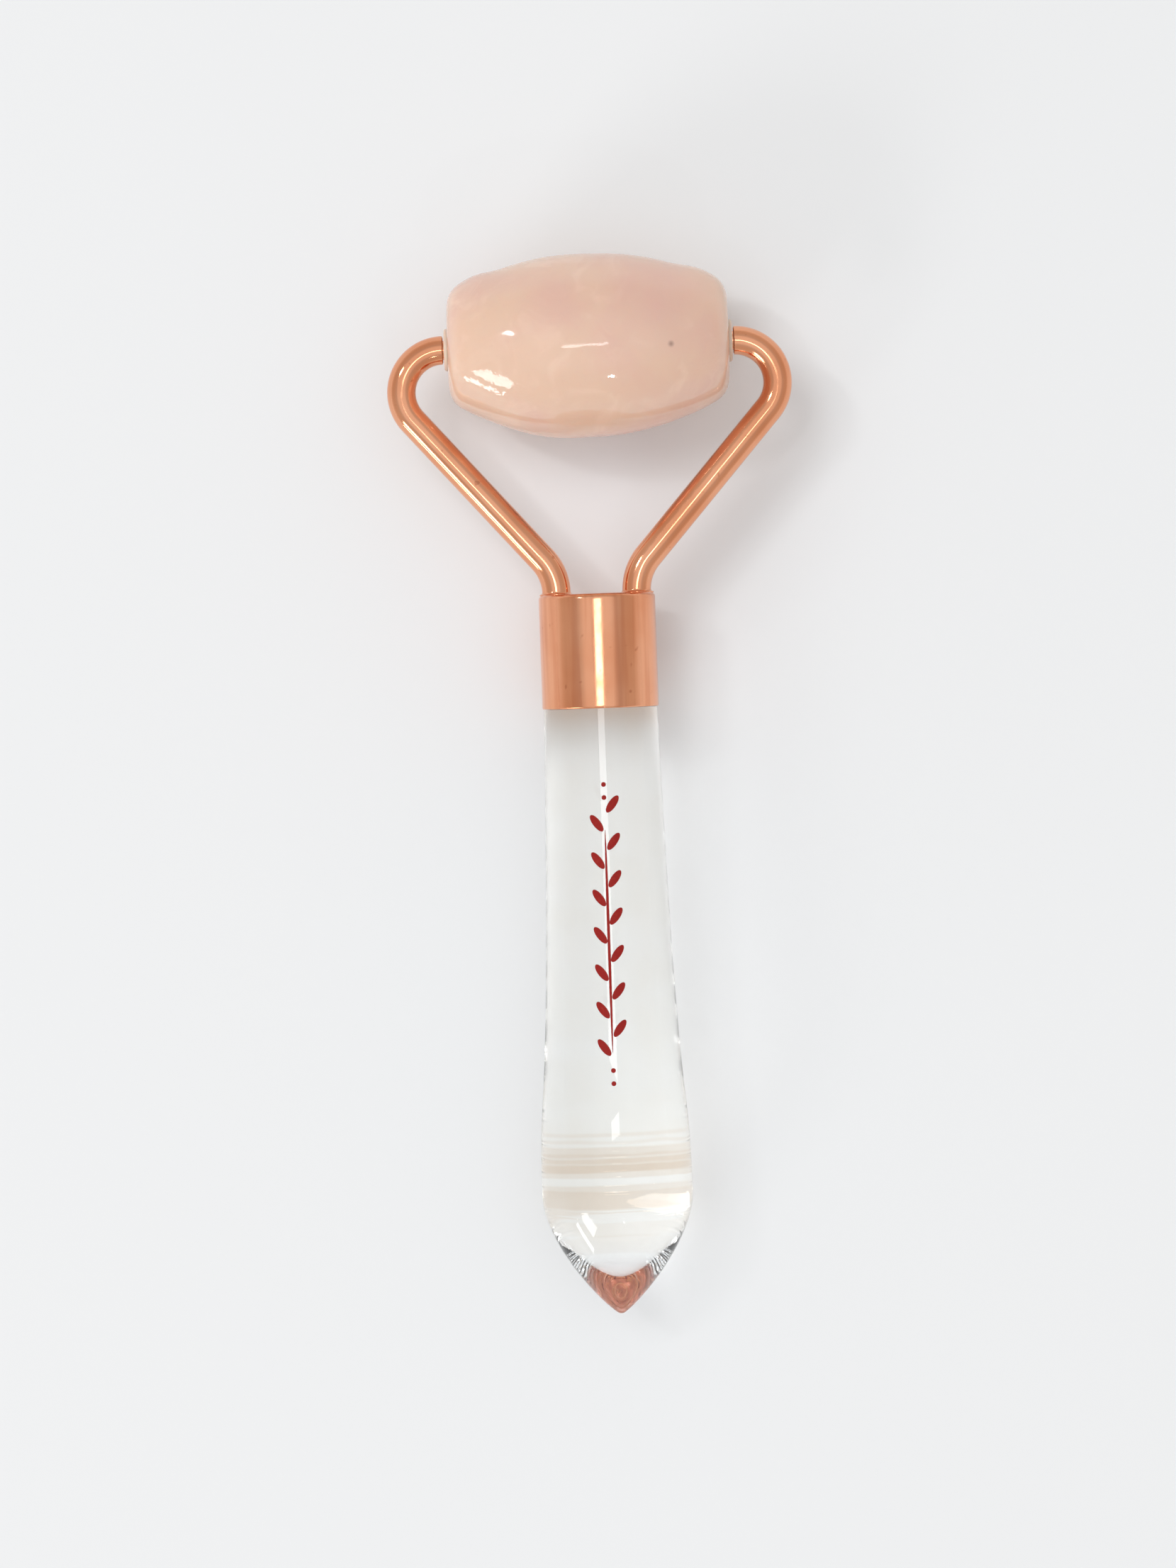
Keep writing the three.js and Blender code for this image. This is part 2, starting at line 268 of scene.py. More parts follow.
def pull(step):
    """Extrudes what is selected by a step."""
    bpy.ops.mesh.extrude_region_move(TRANSFORM_OT_translate={"value": step})


def weld(piece):
    """Merges doubles, points the faces out and smooths the piece up to its sharp edges."""
    bpy.ops.mesh.select_all(action="SELECT")
    bpy.ops.mesh.remove_doubles(threshold=WELD)
    bpy.ops.mesh.normals_make_consistent(inside=False)
    only(piece)
    bpy.ops.object.shade_smooth_by_angle(angle=SMOOTH_ANGLE)


def turn(name, outline, sides, axis="Y"):
    """A piece turned about an axis from an outline that starts and ends on it, or closes on itself."""
    def place(point):
        return Vector((point[0], point[1], 0) if axis == "Y" else (point[1], point[0], 0))

    only()
    bpy.ops.mesh.primitive_plane_add(size=MM, calc_uvs=False, location=(0, 0, 0))
    piece = begin(name)
    bpy.ops.mesh.merge(type="CENTER")
    bpy.ops.transform.translate(value=place(outline[0]))
    for before, after in zip(outline, outline[1:]):
        pull(place(after) - place(before))
    bpy.ops.mesh.select_all(action="SELECT")
    spin_axis = (0, 1, 0) if axis == "Y" else (1, 0, 0)
    bpy.ops.mesh.spin(steps=sides, angle=FULL_TURN, center=(0, 0, 0), axis=spin_axis)
    weld(piece)
    return piece


def apply_place(piece):
    """Puts the object's place and turn into its mesh."""
    only(piece)
    bpy.ops.object.transform_apply(location=True, rotation=True, scale=True)


def other_side(piece, name):
    """A copy for the other side: half a turn about the handle's axis."""
    only(piece)
    bpy.ops.object.duplicate()
    copy = bpy.context.object
    copy.name = copy.data.name = name
    copy.rotation_euler = (0, HALF_TURN, 0)
    apply_place(copy)
    return copy


def select_edges(piece, fits):
    """Selects the edges whose two ends both fit."""
    bpy.ops.mesh.select_all(action="DESELECT")
    bpy.ops.mesh.select_mode(type="EDGE")
    bpy.ops.object.mode_set(mode="OBJECT")
    vertices = piece.data.vertices
    for edge in piece.data.edges:
        edge.select = all(fits(vertices[i].co) for i in edge.vertices)
    bpy.ops.object.mode_set(mode="EDIT")


def lay_down(piece):
    """Turns a piece from the straight frame to how the roller lies."""
    piece.matrix_world = LYING
    apply_place(piece)


# ---- Node trees ----
class Value:
    """A number socket. Arithmetic on it adds Math nodes."""

    def __init__(self, nodes, socket):
        self.nodes = nodes
        self.socket = socket

    def math(self, operation, *operands):
        """What a Math node makes of these operands."""
        return self.nodes.add("ShaderNodeMath", {"operation": operation}, dict(enumerate(operands)))

    def __add__(self, other):
        return self.math("ADD", self, other)

    __radd__ = __add__

    def __sub__(self, other):
        return self.math("SUBTRACT", self, other)

    def __rsub__(self, other):
        return self.math("SUBTRACT", other, self)

    def __mul__(self, other):
        return self.math("MULTIPLY", self, other)

    __rmul__ = __mul__

    def size(self):
        """The value without its sign."""
        return self.math("ABSOLUTE", self)

    def clamped(self):
        """The value held between 0 and 1."""
        return self.nodes.add("ShaderNodeClamp", {}, {"Value": self})


class Nodes:
    """Builds one node tree."""

    def __init__(self, tree):
        self.tree = tree

    def add(self, kind, settings, inputs, output=0):
        """Adds a node with its settings and inputs, and returns one of its outputs."""
        node = self.tree.nodes.new(kind)
        for name, value in settings.items():
            setattr(node, name, value)
        for name, value in inputs.items():
            self.feed(node.inputs[name], value)
        return Value(self, node.outputs[output])

    def feed(self, socket, value):
        """Links a value to a socket, or sets it there."""
        if isinstance(value, Value):
            self.tree.links.new(value.socket, socket)
        else:
            socket.default_value = value

    def places(self, centre=(0, 0, 0), scale=(1, 1, 1)):
        """Object coordinates, centred and scaled. A pattern is drawn out where the scale is below one."""
        seen = self.add("ShaderNodeTexCoord", {}, {}, "Object")
        moved = self.add("ShaderNodeVectorMath", {"operation": "SUBTRACT"}, {0: seen, 1: centre})
        return self.add("ShaderNodeMapping", {}, {"Vector": moved, "Scale": scale})

    def noise(self, places, breadth, detail=2.0, distortion=0.0):
        """Noise of 0 to 1 whose features are about that broad, in metres."""
        return self.add("ShaderNodeTexNoise", {},
                        {"Vector": places, "Scale": 1 / breadth, "Detail": detail,
                         "Distortion": distortion})

    def between(self, value, low, high, new_low=0.0, new_high=1.0):
        """Carries one range over to another, held at its ends."""
        return self.add("ShaderNodeMapRange", {"interpolation_type": "SMOOTHSTEP"},
                        {"Value": value, "From Min": low, "From Max": high, "To Min": new_low,
                         "To Max": new_high})

    def mix(self, factor, first, second):
        """A colour between two colours."""
        return self.add("ShaderNodeMix", {"data_type": "RGBA"}, {0: factor, 6: first, 7: second},
                        2)

    def near(self, places, point, reach):
        """One at a point, falling to nothing at a reach from it."""
        gap = self.add("ShaderNodeVectorMath", {"operation": "DISTANCE"}, {0: places, 1: point}, "Value")
        return self.between(gap, 0.0, reach, 1.0, 0.0)

    def bump(self, height, depth):
        """A normal from a height of 0 to 1 that stands for a depth in metres."""
        return self.add("ShaderNodeBump", {}, {"Strength": 1.0, "Distance": depth, "Height": height})


class Finish(Nodes):
    """A material on one Principled shader."""

    def __init__(self, name, **constants):
        self.material = bpy.data.materials.new(name)
        self.material.use_nodes = True
        super().__init__(self.material.node_tree)
        self.shader = self.tree.nodes["Principled BSDF"]
        self.set(**constants)

    def set(self, **sockets):
        """Feeds the shader's sockets, named with _ for a space."""
        for name, value in sockets.items():
            self.feed(self.shader.inputs[name.replace("_", " ")], value)

    def let_lamps_through(self, share):
        """Lets a share of the lamps' light through each face, as clear plastic does."""
        shadow = self.add("ShaderNodeLightPath", {}, {}, "Is Shadow Ray")
        clear = self.add("ShaderNodeBsdfTransparent", {}, {"Color": (share, share, share, 1)})
        solid = Value(self, self.shader.outputs[0])
        both = self.add("ShaderNodeMixShader", {}, {0: shadow, 1: solid, 2: clear})
        self.feed(self.tree.nodes["Material Output"].inputs["Surface"], both)


# The stone's pinker zones: centre from the stone's own centre and reach, in millimetres, and strength
MAUVE_ZONES = (((-3.6, 4.4, 8.0), 5.5, 0.4), ((7.5, 4.6, 6.5), 9.0, 0.5), ((4.0, -6.5, -5.0), 9.0, 0.5),
               ((-9.0, -2.0, -7.0), 7.0, 0.45), ((8.0, -5.0, 3.0), 5.0, 0.2))
# One dark inclusion, and one patch where the polish is pitted: centre and reach
SPECK = Vector((8.6, -0.7, 8.3)) * MM
SPECK_REACH = 0.5 * MM
SPECK_COLOUR = colour(120, 84, 80)
PITTED = Vector((-9.5, -4.0, 6.5)) * MM
PITTED_REACH = 7 * MM


def quartz(settings):
    """Polished cloudy rose quartz."""
    finish = Finish("rose_quartz", IOR=1.54, Specular_IOR_Level=0.75, Subsurface_Weight=0.6,
                    Subsurface_Scale=3.0 * MM, Subsurface_Radius=(1.0, 0.7, 0.6))
    places = finish.places(centre=AXLE)
    clouds = finish.noise(places, 14 * MM, 3.0, 0.6)
    wisps = finish.noise(places, 5 * MM, 5.0, 1.2)
    drift = finish.noise(places, 4 * MM, 2.0)
    grains = finish.noise(places, 0.5 * MM, 2.0)
    body = finish.mix(finish.between(clouds, 0.42, 0.66), settings.body, settings.rose)
    body = finish.mix(finish.between(wisps, 0.5, 0.72) * 0.6, body, settings.milk)
    for place, reach, depth in MAUVE_ZONES:
        zone = finish.near(places, Vector(place) * MM, reach * MM)
        body = finish.mix((zone * (0.45 + drift)).clamped() * depth, body, settings.mauve)
    vein = 1 - ((wisps - 0.5).size() * 26).clamped()
    vein = vein * finish.between(clouds, 0.5, 0.6) * 0.28
    body = finish.mix(vein, body, settings.milk)
    body = finish.mix(finish.near(places, SPECK, SPECK_REACH) * 0.7, body, SPECK_COLOUR)
    body = finish.mix(finish.between(grains, 0.56, 0.74) * 0.1, body, settings.mauve)
    rough = finish.between(wisps, 0.45, 0.75, 0.07, 0.14)
    height = finish.noise(places, 1.7 * MM, 1.5) * 0.7 + finish.noise(places, 0.7 * MM, 1.0) * 0.2
    pits = finish.noise(places, 1.1 * MM, 2.0) * finish.near(places, PITTED, PITTED_REACH)
    height = height + pits * 1.5
    finish.set(Base_Color=body, Roughness=rough, Normal=finish.bump(height, 0.035 * MM))
    return finish.material


PALE_NYLON = colour(232, 214, 196)


def nylon(settings):
    """Satin natural nylon with a faint turned grain."""
    finish = Finish("natural_nylon", IOR=1.53, Subsurface_Weight=0.3, Subsurface_Scale=1.0 * MM)
    places = finish.places(centre=AXLE)
    mottle = finish.noise(places, 1.2 * MM, 2.0)
    grain = finish.noise(finish.places(centre=AXLE, scale=(12, 1, 1)), 0.8 * MM, 1.0)
    shade = finish.mix(finish.between(mottle, 0.4, 0.7) * 0.5, settings.nylon, PALE_NYLON)
    finish.set(Base_Color=shade, Roughness=finish.between(mottle, 0.3, 0.7, 0.34, 0.46),
               Normal=finish.bump(grain, 0.01 * MM))
    return finish.material


COPPER_SPOTS = colour(196, 118, 84)
DRAWN_LINES = colour(206, 124, 88)


def plating(name, settings, centre, polish, lines):
    """Polished copper plating, slightly wavy, with drawn lines along the handle of some strength.

    The polish is the least roughness, which a haze adds to.
    """
    finish = Finish(name, Metallic=1.0)
    places = finish.places(centre=centre)
    cloud = finish.noise(places, 7 * MM, 2.0)
    haze = finish.noise(places, 1.4 * MM, 3.0)
    tone = finish.mix(finish.between(cloud, 0.35, 0.7), settings.copper, settings.deep_copper)
    spot = finish.between(finish.noise(places, 0.9 * MM, 1.0), 0.72, 0.8) * 0.5
    tone = finish.mix(spot, tone, COPPER_SPOTS)
    drawn = finish.noise(finish.places(centre=centre, scale=(1, 0.03, 1)), 0.9 * MM, 3.0)
    tone = finish.mix(finish.between(drawn, 0.45, 0.65) * lines, tone, DRAWN_LINES)
    wave = finish.noise(finish.places(centre=centre, scale=(1, 0.22, 1)), 2.2 * MM, 1.0)
    wave = wave + drawn * (0.8 * lines)
    rough = finish.between(haze, 0.35, 0.75, polish, polish + 0.07)
    finish.set(Base_Color=tone, Roughness=rough, Normal=finish.bump(wave, 0.02 * MM))
    return finish.material


def flashed_brass(settings):
    """Turned brass with a copper flash, seen only through the handle."""
    finish = Finish("copper_flashed_brass", Metallic=1.0)
    places = finish.places(centre=LYING @ ((CORE_LOW + CORE_HIGH) / 2))
    rings = finish.add("ShaderNodeTexWave", {"wave_type": "RINGS", "rings_direction": "Y"},
                       {"Vector": places, "Scale": 1 / (1.2 * MM), "Distortion": 0.4})
    cloud = finish.noise(places, 3 * MM, 2.0)
    tone = finish.mix(finish.between(cloud, 0.3, 0.7), settings.inner_copper, settings.deep_copper)
    finish.set(Base_Color=tone, Roughness=finish.between(cloud, 0.3, 0.7, 0.2, 0.3),
               Normal=finish.bump(rings, 0.006 * MM))
    return finish.material


# Faint smoky rings round the handle's bulge: distance from the tip and half width, in millimetres, and
# strength
SMOKE_RINGS = ((16.7, 0.35, 0.7), (15.35, 0.55, 1.0), (12.4, 0.8, 0.7), (9.3, 0.65, 0.4), (18.4, 0.06, 0.5))
RING_EDGE = 0.25 * MM  # width over which a ring fades out
# Fine polishing lines beside the rings: distance from the tip, in millimetres, and height in the bump
POLISH_LINES = ((17.4, 0.6), (16.1, 0.6), (14.7, 0.6), (13.2, 0.5), (11.2, 0.3), (10.6, 0.3))
POLISH_LINE_EDGES = (0.02 * MM, 0.16 * MM)  # from a line's middle to where it starts and ends to fade
NOSE_FADE = (7 * MM, 9.5 * MM)  # from the tip to where the nose's tint starts and ends to fade
FERRULE_GLOW_FADE = 3 * MM  # length of the painted reflection of the copper ferrule, a warm tint fading out below it
LAMP_SHARE = 0.65  # of the lamps' light that each face of the handle lets through


def acrylic(settings):
    """Polished clear acrylic, a little milky, with faint rings where the nose was turned, and the copper
    ferrule's reflection painted in as a warm tint just below it.
    """
    finish = Finish("clear_acrylic", Transmission_Weight=1.0, IOR=1.49, Roughness=0.0)
    tip = LYING @ Vector((0, HANDLE_LOW.y, 0))
    places = finish.places(centre=tip)
    cloud = finish.noise(places, 5 * MM, 1.0)
    along = finish.add("ShaderNodeSeparateXYZ", {}, {"Vector": places}, "Y")
    along = along + (finish.noise(places, 6 * MM, 2.0) - 0.5) * (0.5 * MM)
    tone = finish.mix(finish.between(cloud, 0.3, 0.7), settings.clear, settings.warm)
    for middle, half, depth in SMOKE_RINGS:
        off = (along - middle * MM).size()
        ring = finish.between(off, half * MM, half * MM + RING_EDGE, 1.0, 0.0)
        tone = finish.mix(ring * depth * (0.55 + cloud), tone, settings.smoke_and_ferrule_glow)
    tone = finish.mix(finish.between(along, *NOSE_FADE), settings.nose, tone)
    # Painted reflection: the copper ferrule's warm glow, painted into the acrylic just below the ferrule
    neck = FERRULE_LOW.y - HANDLE_LOW.y
    tone = finish.mix(finish.between(along, neck - FERRULE_GLOW_FADE, neck) * 0.7, tone, settings.smoke_and_ferrule_glow)
    height = finish.noise(places, 4 * MM, 0.0) * 0.1
    for middle, depth in POLISH_LINES:
        off = (along - middle * MM).size()
        height = height + finish.between(off, *POLISH_LINE_EDGES, depth, 0.0)
    finish.set(Base_Color=tone, Normal=finish.bump(height, 0.012 * MM))
    finish.let_lamps_through(LAMP_SHARE)
    return finish.material


def ink(settings):
    """Pad-printed ink, a little thin in places."""
    finish = Finish("printed_ink", Specular_IOR_Level=0.25)
    places = finish.places()
    thin = finish.noise(places, 0.35 * MM, 3.0)
    tone = finish.mix(finish.between(thin, 0.5, 0.75) * 0.7, settings.ink, settings.worn_ink)
    finish.set(Base_Color=tone, Roughness=finish.between(thin, 0.3, 0.7, 0.3, 0.45),
               Normal=finish.bump(thin, 0.006 * MM))
    return finish.material


def paper(settings):
    """A plain pale sweep."""
    finish = Finish("pale_sweep", Roughness=0.9, Specular_IOR_Level=0.1)
    finish.set(Base_Color=settings.floor)
    return finish.material


# ---- Pieces ----
def dress(piece, material):
    """Gives a piece one material."""
    piece.data.materials.clear()
    piece.data.materials.append(material)


def steadily(value, start, run):
    """Zero up to a start, then up to one over a run."""
    return min(1.0, max(0.0, (value - start) / run))


def sink_unevenly(piece, name, depth, breadth):
    """Sinks the stone's crown unevenly by up to a depth. Its ends and bores stay as they are."""
    texture = bpy.data.textures.new(name, "CLOUDS")
    texture.noise_scale = breadth
    texture.noise_depth = 0
    displace = piece.modifiers.new(name, "DISPLACE")
    displace.texture = texture
    displace.texture_coords = "LOCAL"
    displace.vertex_group = "crown"
    displace.mid_level = 1.0
    displace.strength = depth
    only(piece)
    bpy.ops.object.modifier_apply(modifier=name)


MOUTH = 0.15 * MM  # bevel at the mouth of the stone's bores
# From the axle to where the stone's surface starts to be uneven, and the width over which it comes on
CROWN_RISE = (5.5 * MM, 2.5 * MM)
# From the stone's middle to where its fuller side starts, and the length over which it comes on
SHOULDER_RISE = (8.5 * MM, 4 * MM)
SLEEVE_MOUTH = 0.1 * MM  # bevel at the mouth of a sleeve
BRAZE_LAP = 0.05 * MM  # how far a fillet reaches into its wire
BRAZE_SUNK = 0.12 * MM  # how far a fillet reaches into the ferrule's top


class RollerOperator(bpy.types.Operator):
    """Makes one piece, or one group of like pieces"""

    bl_options = {"REGISTER", "UNDO"}


class ROLLER_OT_stone(RollerOperator):
    """Turns the crowned stone, sinks its surface unevenly and polishes it"""

    bl_idname = "roller.stone"
    bl_label = "Stone"

    def execute(self, context):
        s = context.scene.roller_stone
        bore = context.scene.roller_fork.pin_radius + RUNNING_CLEARANCE + s.sleeve_wall + BOND
        bottom = SLEEVE_LOW.x - BOND
        start = s.band / 2
        fall = STONE_HALF - start
        drop = STONE_RADIUS - s.end_radius
        crown = (fall * fall + drop * drop) / (2 * drop)
        centre = STONE_RADIUS - crown
        round_along = STONE_HALF - s.edge_round
        round_out = centre + math.sqrt((crown - s.edge_round) ** 2 - (round_along - start) ** 2)
        edge = math.atan2(round_out - centre, round_along - start)
        side = [(0.0, bottom), (bore, bottom), (bore, STONE_HALF - MOUTH), (bore + MOUTH, STONE_HALF)]
        # Zero degrees is along the axle in these two arcs, so each point's numbers change places.
        curve = arc(round_along, round_out, s.edge_round, 0, edge, steps=14)
        curve += arc(start, centre, crown, edge, QUARTER_TURN, steps=34)[1:]
        side += [(out, along) for along, out in curve]
        middle = [(STONE_RADIUS, start * step / 4) for step in (3, 2, 1)]
        half = side + middle + [(STONE_RADIUS, 0.0)]
        outline = half + [(out, -along) for out, along in reversed(half[:-1])]
        stone = turn("polished_stone", outline, s.sides, axis="X")
        uneven = stone.vertex_groups.new(name="crown")
        fuller = stone.vertex_groups.new(name="shoulder")
        for vertex in stone.data.vertices:
            along, out = abs(vertex.co.x), vertex.co.yz.length
            uneven.add([vertex.index], steadily(out, *CROWN_RISE), "REPLACE")
            if out > bore + MM:
                rise = steadily(along, *SHOULDER_RISE)
                weight = rise * rise * (3 - 2 * rise) * max(0.0, vertex.co.y / out)
                fuller.add([vertex.index], weight, "REPLACE")
        shoulder = stone.modifiers.new("shoulder", "DISPLACE")
        shoulder.direction = "Y"
        shoulder.vertex_group = "shoulder"
        shoulder.mid_level = 0.0
        shoulder.strength = s.shoulder
        only(stone)
        bpy.ops.object.modifier_apply(modifier="shoulder")
        sink_unevenly(stone, "swell", s.swell_depth, s.swell_size)
        sink_unevenly(stone, "ripple", s.ripple_depth, s.ripple_size)
        stone.vertex_groups.clear()
        lay_down(stone)
        dress(stone, quartz(s))
        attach(stone, "stone_roller")
        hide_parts("roller_stone")
        return {"FINISHED"}


class ROLLER_OT_sleeves(RollerOperator):
    """Turns the flanged nylon sleeve for one end of the stone and copies it to the other"""

    bl_idname = "roller.sleeves"
    bl_label = "Sleeves"

    def execute(self, context):
        s = context.scene.roller_stone
        flange = SLEEVE_HIGH.y
        face = SLEEVE_HIGH.x
        bore = context.scene.roller_fork.pin_radius + RUNNING_CLEARANCE
        wall = bore + s.sleeve_wall
        back = face - s.flange + BOND
        corner = s.flange_round
        outline = [(bore, SLEEVE_LOW.x), (wall, SLEEVE_LOW.x), (wall, back), (flange, back)]
        outline += arc(flange - corner, face - corner, corner, 0, QUARTER_TURN, steps=6)
        outline += [(bore + SLEEVE_MOUTH, face), (bore, face - SLEEVE_MOUTH), (bore, SLEEVE_LOW.x)]
        right = turn("right_sleeve", outline, SMALL_SIDES, axis="X")
        left = other_side(right, "left_sleeve")
        material = nylon(s)
        for piece, node in ((right, "right_bushing"), (left, "left_bushing")):
            lay_down(piece)
            dress(piece, material)
            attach(piece, "stone_roller")
            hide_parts(node)
        return {"FINISHED"}


class ROLLER_OT_wires(RollerOperator):
    """Draws one wire out of its pin, bends it over to the ferrule and copies it to the other side"""

    bl_idname = "roller.wires"
    bl_label = "Wires"

    def execute(self, context):
        s = context.scene.roller_fork
        wire = ARM_HIGH.z
        shoulder = ARM_HIGH.x - wire - s.upper_bend - s.straight
        pin_tip = shoulder - s.pin_length
        leg = FERRULE_HIGH.x - s.leg_inset - wire
        foot = FERRULE_HIGH.y + BOND
        upper = Vector((shoulder + s.straight, -s.upper_bend, 0))
        lower = Vector((leg + s.lower_bend, foot + s.straight, 0))
        span = lower - upper
        both = s.upper_bend + s.lower_bend
        heading = math.atan2(span.y, span.x) - math.asin(both / span.length)
        run = math.sqrt(span.length_squared - both * both)
        away = Vector((math.cos(heading), math.sin(heading), 0))

        only()
        bpy.ops.mesh.primitive_circle_add(vertices=s.wire_sides, radius=s.pin_radius,
                                          fill_type="NGON", calc_uvs=False,
                                          location=(pin_tip, 0, 0), rotation=(0, QUARTER_TURN, 0))
        apply_place(bpy.context.object)
        right = begin("right_wire")
        bpy.ops.mesh.select_all(action="SELECT")
        pull((s.pin_length, 0, 0))
        pull((0, 0, 0))
        grow = wire / s.pin_radius
        bpy.ops.transform.resize(value=(1, grow, grow), center_override=(shoulder, 0, 0))
        pull((s.straight, 0, 0))
        bpy.ops.mesh.spin(steps=48, angle=-heading, center=upper, axis=(0, 0, 1))
        pull(away * HELD)
        pull(away * (run - 2 * HELD))
        pull(away * HELD)
        bpy.ops.mesh.spin(steps=30, angle=-heading - QUARTER_TURN, center=lower, axis=(0, 0, -1))
        pull((0, -s.straight, 0))
        pull((0, 0, 0))
        bpy.ops.transform.resize(value=(1 / grow, 1, 1 / grow), center_override=(leg, foot, 0))
        pull((0, ARM_LOW.y - foot, 0))
        pin_and_more = 1.2 * s.pin_radius
        corners = ((lambda p: abs(p.x - shoulder) < WELD and p.yz.length > pin_and_more),
                   (lambda p: abs(p.y - foot) < WELD and math.hypot(p.x - leg, p.z) > pin_and_more),
                   (lambda p: abs(p.x - pin_tip) < WELD),
                   (lambda p: abs(p.y - ARM_LOW.y) < WELD))
        for corner in corners:
            select_edges(right, corner)
            bpy.ops.mesh.bevel(offset=s.shoulder_round, segments=4, affect="EDGES")
        bpy.ops.mesh.select_mode(type="VERT")
        weld(right)
        left = other_side(right, "left_wire")

        fillet = s.braze
        sunk = FERRULE_HIGH.y - BRAZE_SUNK
        ring = [(wire - BRAZE_LAP, sunk), (wire + fillet, sunk)]
        ring += arc(wire + fillet, FERRULE_HIGH.y + fillet, fillet, -QUARTER_TURN, -HALF_TURN, steps=8)
        ring += [(wire - BRAZE_LAP, FERRULE_HIGH.y + fillet), ring[0]]
        right_braze = turn("right_braze", ring, SMALL_SIDES)
        right_braze.location = (leg, 0, 0)
        apply_place(right_braze)
        left_braze = other_side(right_braze, "left_braze")

        material = plating("plated_wire", s, AXLE, polish=0.09, lines=0.0)
        nodes = {right: ("right_arm",), left: ("left_arm",), right_braze: (), left_braze: ()}
        for piece, stood_for in nodes.items():
            lay_down(piece)
            dress(piece, material)
            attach(piece, "handle_frame")
            if stood_for:
                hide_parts(*stood_for)
        return {"FINISHED"}


class ROLLER_OT_ferrule(RollerOperator):
    """Turns the drawn and plated cup over the top of the handle"""

    bl_idname = "roller.ferrule"
    bl_label = "Ferrule"

    def execute(self, context):
        s = context.scene.roller_fork
        outer = FERRULE_HIGH.x
        inner = outer - s.wall
        top, rim = FERRULE_HIGH.y, FERRULE_LOW.y
        shoulder = top - s.top_fall - s.edge_round
        under = top - s.top
        outline = [(0, under), (inner - s.rim_round, under)]
        outline += arc(inner - s.rim_round, under - s.rim_round, s.rim_round, QUARTER_TURN, 0, steps=6)
        outline += [(inner, rim + 0.5 * s.rim_round)]
        outline += arc(outer - s.rim_round, rim + s.rim_round, s.rim_round, -QUARTER_TURN, 0, steps=8)
        # Close rings keep the side's shading straight beside its rounded edges.
        outline += [(outer, rim + s.rim_round + HELD), (outer, shoulder - HELD)]
        outline += arc(outer - s.edge_round, shoulder, s.edge_round, 0, QUARTER_TURN, steps=14)
        outline += [(s.land_radius, top), (0, top)]
        ferrule = turn("plated_ferrule", outline, s.ferrule_sides)
        lay_down(ferrule)
        dress(ferrule, plating("plated_ferrule", s, LYING @ FERRULE_HIGH, polish=0.12, lines=0.35))
        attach(ferrule, "handle_frame")
        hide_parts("ferrule")
        return {"FINISHED"}


class ROLLER_OT_inner_metal(RollerOperator):
    """Finishes the plug inside the ferrule and the stud that draws the handle up"""

    bl_idname = "roller.inner_metal"
    bl_label = "Plug and Stud"

    def execute(self, context):
        material = flashed_brass(context.scene.roller_fork)
        for node in ("fork_core", "handle_stud"):
            dress(frame["nodes"][node], material)
        return {"FINISHED"}


FLANK_HELD = (0.155, 0.355)  # shares of the flank that hold its slope at the tip and at the bulge
TAPER_HELD = (0.28, 0.93)  # shares of the taper that hold its slope at the bulge and at the neck
NECK_SLOPE = -0.019  # change of the neck's radius along it


def handle_profile(s):
    """The handle's outer outline, from the tip to the shoulder under the ferrule."""
    tip, shoulder = HANDLE_LOW.y, FERRULE_LOW.y - BOND
    slope = math.tan(s.nose_angle)
    nose = arc(0, tip + s.tip_round, s.tip_round, -QUARTER_TURN, -s.nose_angle, steps=10)
    nose[0] = (0.0, tip)
    bulge = (HANDLE_HIGH.x, tip + s.bulge_to_tip)
    neck = (FERRULE_HIGH.x - s.neck_step, shoulder)
    at_tip, at_bulge = FLANK_HELD
    flank = flowing(nose[-1], slope, at_tip, bulge, 0, at_bulge, steps=64)
    at_bulge, at_neck = TAPER_HELD
    taper = flowing(bulge, 0, at_bulge, neck, NECK_SLOPE, at_neck, steps=110)
    return nose + flank[1:] + taper[1:]


class ROLLER_OT_handle(RollerOperator):
    """Turns the clear handle, with the spigot that fills the ferrule and the hole for the stud"""

    bl_idname = "roller.handle"
    bl_label = "Handle"

    def execute(self, context):
        s = context.scene.roller_handle
        fork = context.scene.roller_fork
        spigot = FERRULE_HIGH.x - fork.wall - BOND
        top = CORE_LOW.y - BOND
        shoulder = FERRULE_LOW.y - BOND
        hole = STUD_HIGH.x + s.stud_gap
        bottom = STUD_LOW.y - s.hole_end_gap
        outline = handle_profile(s)
        outline += [(spigot, shoulder), (spigot, top), (hole, top), (hole, bottom), (0, bottom)]
        handle = turn("clear_handle", outline, s.sides)
        lay_down(handle)
        dress(handle, acrylic(s))
        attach(handle, "handle_frame")
        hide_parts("handle")
        return {"FINISHED"}


DOT = 0.5 * MM  # width of the dots at the sprig's two ends
SKIN_MARGIN = 3 * MM  # of the skin of ink beyond the sprig's two ends, before it is cut


